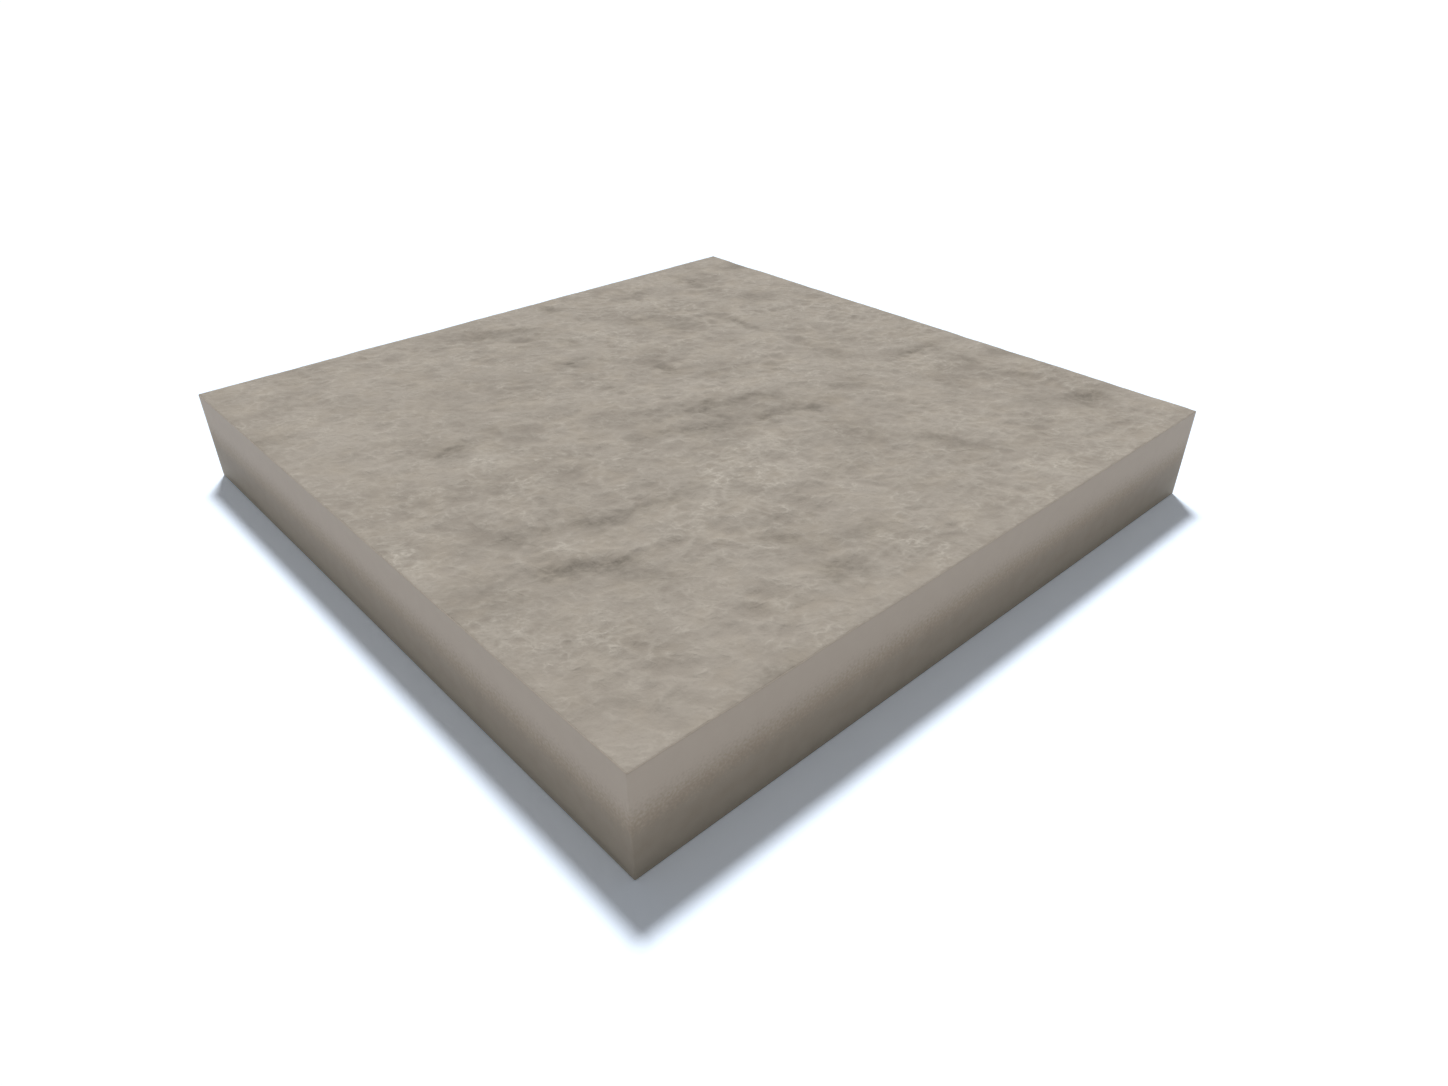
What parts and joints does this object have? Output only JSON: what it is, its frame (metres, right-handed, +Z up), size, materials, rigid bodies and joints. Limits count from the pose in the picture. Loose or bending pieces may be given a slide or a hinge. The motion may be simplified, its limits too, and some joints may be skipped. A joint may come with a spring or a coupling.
{
  "type": "concrete paving slab",
  "caption": "Square concrete paving slab with a riven stone-like wearing face, upright flat sides and a flat bed, laid butt-jointed on a bed as paving.",
  "frame": {"origin": "centre of the flat bed face that the slab lies on", "axes": "+Z up, out of the wearing face; +X and +Y along the sides"},
  "size_m": [0.3, 0.3, 0.04],
  "materials": {
    "riven_concrete": "warm grey cast concrete, matt and riven on the wearing face, smooth from the mould on the sides"
  },
  "bodies": {
    "root": {"paving_slab": "riven_concrete"}
  },
  "joints": []
}
